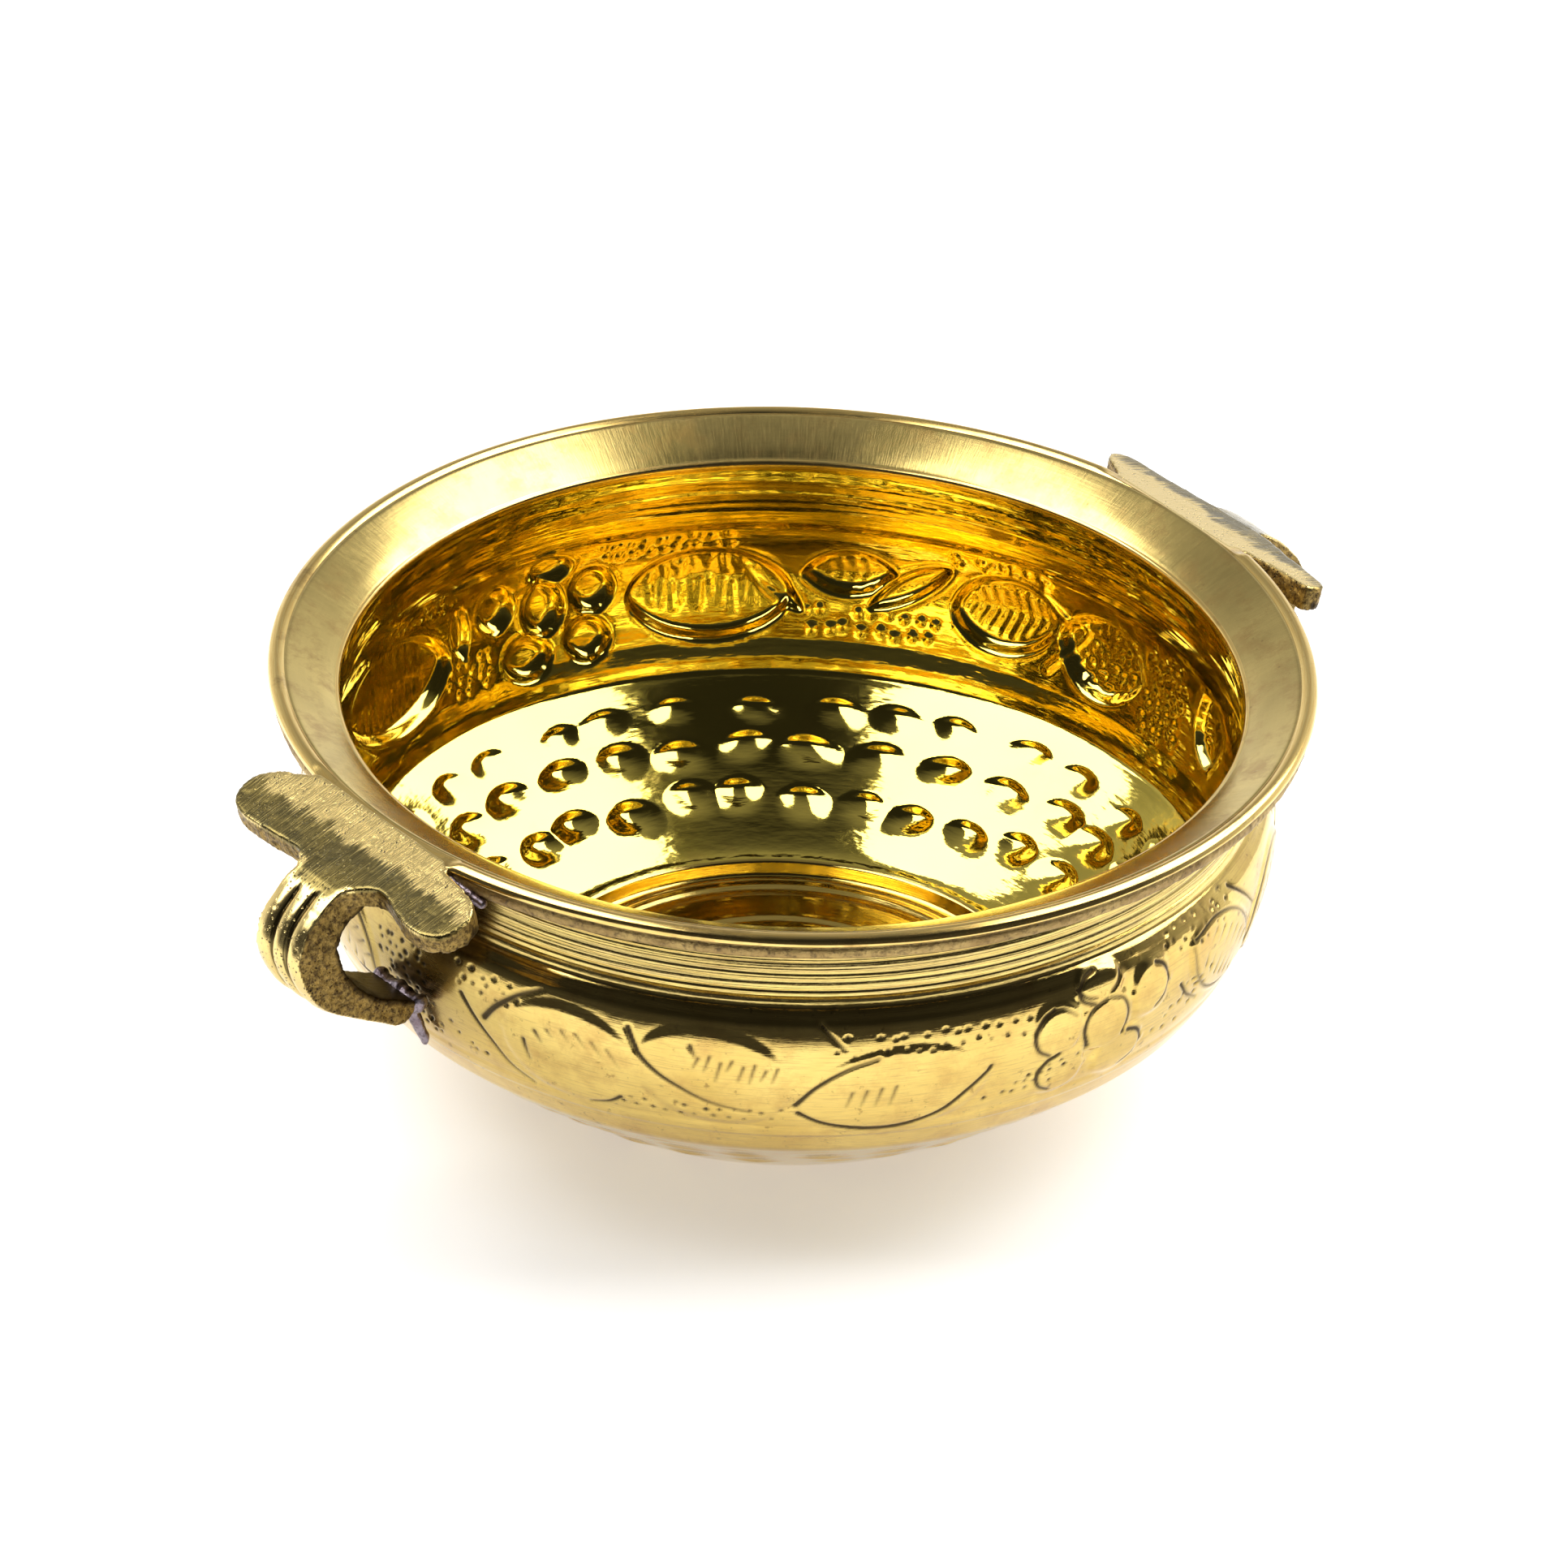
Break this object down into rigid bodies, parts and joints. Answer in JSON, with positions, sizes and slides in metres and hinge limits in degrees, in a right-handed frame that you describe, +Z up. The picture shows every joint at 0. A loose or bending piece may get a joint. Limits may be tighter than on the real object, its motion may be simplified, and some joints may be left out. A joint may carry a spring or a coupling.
{
  "type": "brass urli bowl",
  "caption": "Wide, shallow brass urli bowl with a sloping rim, turned neck, chased belly, hammered floor and cast loop handles brazed under the rim.",
  "frame": {"origin": "centre of the flat rest face under the bowl", "axes": "+Z up through the mouth; the two handles lie along X"},
  "size_m": [0.2234, 0.18, 0.075],
  "materials": {
    "turned_brass": "turned and polished, with chased leaves and flowers and a hammered lower wall",
    "cast_brass": "sand cast, ground on top, pitted skin on the sides",
    "braze": "dark, uneven braze"
  },
  "bodies": {
    "root": {"bowl": "turned_brass", "left_handle": "cast_brass", "right_handle": "cast_brass", "left_rim_braze": "braze", "right_rim_braze": "braze", "left_foot_braze": "braze", "right_foot_braze": "braze"}
  },
  "joints": []
}
